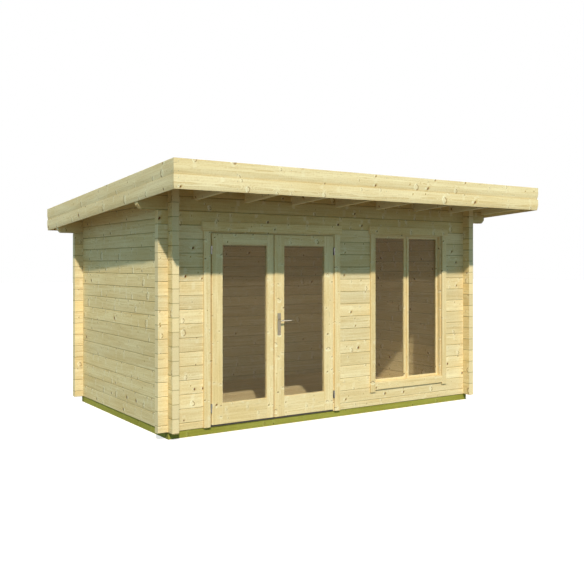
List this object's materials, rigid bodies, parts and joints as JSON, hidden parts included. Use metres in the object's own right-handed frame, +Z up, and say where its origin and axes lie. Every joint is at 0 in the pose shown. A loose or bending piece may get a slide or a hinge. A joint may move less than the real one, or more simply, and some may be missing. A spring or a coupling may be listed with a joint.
{
  "type": "garden office pod",
  "caption": "Interlocking-log garden cabin with a pent roof, deep front overhang, glazed double doors and a tall two-pane window.",
  "frame": {"origin": "on the ground, under the middle of the roof's outline", "axes": "+X to the right seen from the front, -Y out of the front, +Z up"},
  "size_m": [4.638, 3.618, 2.5497],
  "materials": {
    "log_wood": "planed, unpainted softwood",
    "trim_wood": "planed, unpainted softwood",
    "treated_wood": "green pressure treated",
    "glazing": "brown tinted",
    "handle_metal": "satin",
    "hinge_metal": "zinc plated",
    "threshold_metal": "mill finish",
    "roof_sheet": "matt sheet"
  },
  "bodies": {
    "root": {"bearer_front": "treated_wood", "bearer_back": "treated_wood", "bearer_left": "treated_wood", "bearer_right": "treated_wood", "floor_joists": "treated_wood", "floor_boards": "trim_wood", "front_wall_left": "log_wood", "front_wall_middle": "log_wood", "front_wall_right": "log_wood", "front_wall_sill": "log_wood", "front_wall_over": "log_wood", "front_wall_top": "log_wood", "left_wall": "log_wood", "right_wall": "log_wood", "back_wall": "log_wood", "back_wall_top": "log_wood", "rafters": "trim_wood", "roof_deck": "trim_wood", "roof_cover": "roof_sheet", "fascia_front": "trim_wood", "fascia_left": "trim_wood", "fascia_right": "trim_wood", "fascia_back": "trim_wood", "door_jamb_left": "trim_wood", "door_jamb_right": "trim_wood", "door_head": "trim_wood", "door_threshold": "threshold_metal", "door_casing_left": "trim_wood", "door_casing_right": "trim_wood", "door_lintel": "trim_wood", "hinge_pins": "hinge_metal", "window_frame": "trim_wood", "window_sashes": "trim_wood", "window_panes": "glazing", "window_casings": "trim_wood", "window_lintel": "trim_wood", "window_apron": "trim_wood"},
    "left_door": {"left_leaf": "trim_wood", "left_pane": "glazing", "left_hinges": "hinge_metal"},
    "right_door": {"right_leaf": "trim_wood", "right_pane": "glazing", "right_hinges": "hinge_metal", "cover_strip": "trim_wood", "handle_plates": "handle_metal"},
    "door_lever": {"lever": "handle_metal"}
  },
  "joints": [
    {"name": "left_door_hinge", "type": "hinge", "parent": "root", "child": "left_door", "pos_m": [-1.547, -1.014, 0], "axis": [0, 0, -1], "range_deg": [0, 110]},
    {"name": "right_door_hinge", "type": "hinge", "parent": "root", "child": "right_door", "pos_m": [-0.053, -1.014, 0], "axis": [0, 0, 1], "range_deg": [0, 110]},
    {"name": "lever_turn", "type": "hinge", "parent": "right_door", "child": "door_lever", "pos_m": [-0.759, -0.994, 1.08], "axis": [0, 1, 0], "range_deg": [0, 45], "stiffness_Nm_per_rad": 1.5, "springref_deg": -28.65}
  ]
}
